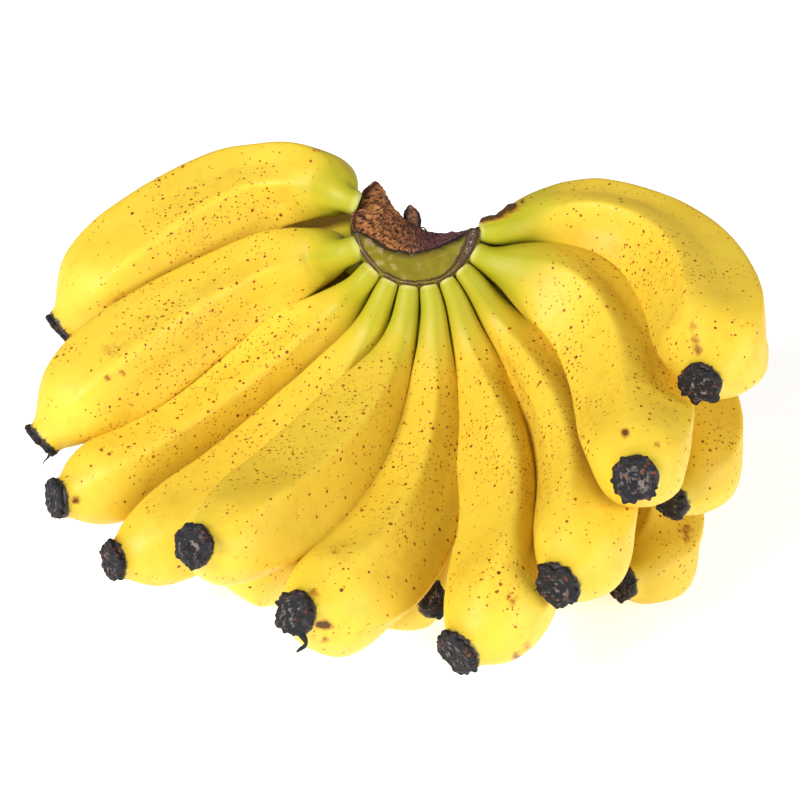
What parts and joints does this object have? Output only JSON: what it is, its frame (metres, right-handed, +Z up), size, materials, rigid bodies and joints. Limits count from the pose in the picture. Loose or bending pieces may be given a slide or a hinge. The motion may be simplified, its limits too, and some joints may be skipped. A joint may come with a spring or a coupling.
{
  "type": "bunch of bananas",
  "caption": "Hand of ripe bananas: two rows of curved fingers fanning out from one woody crown, for display, cooking or cargo scenes.",
  "frame": {"origin": "middle of the hand's bounding box, on the surface it rests on", "axes": "+X along the widest spread of the fingers, +Y away from the side the fingers curve toward, +Z up"},
  "size_m": [0.2862, 0.2466, 0.1569],
  "materials": {
    "peel_inner": "waxy satin, small brown speckles",
    "peel_outer": "waxy satin, small brown speckles",
    "crown_wood": "dried, fibrous and matt",
    "dry_bract": "dry and matt"
  },
  "bodies": {
    "root": {"crown": "crown_wood", "bract_scrap": "dry_bract", "finger_in_1": "peel_inner", "finger_in_2": "peel_inner", "finger_in_3": "peel_inner", "finger_in_4": "peel_inner", "finger_in_5": "peel_inner", "finger_in_6": "peel_inner", "finger_in_7": "peel_inner", "finger_in_8": "peel_inner", "finger_in_9": "peel_inner", "finger_in_10": "peel_inner", "finger_out_1": "peel_outer", "finger_out_2": "peel_outer", "finger_out_3": "peel_outer", "finger_out_4": "peel_outer", "finger_out_5": "peel_outer", "finger_out_6": "peel_outer", "finger_out_7": "peel_outer", "finger_out_8": "peel_outer"}
  },
  "joints": []
}
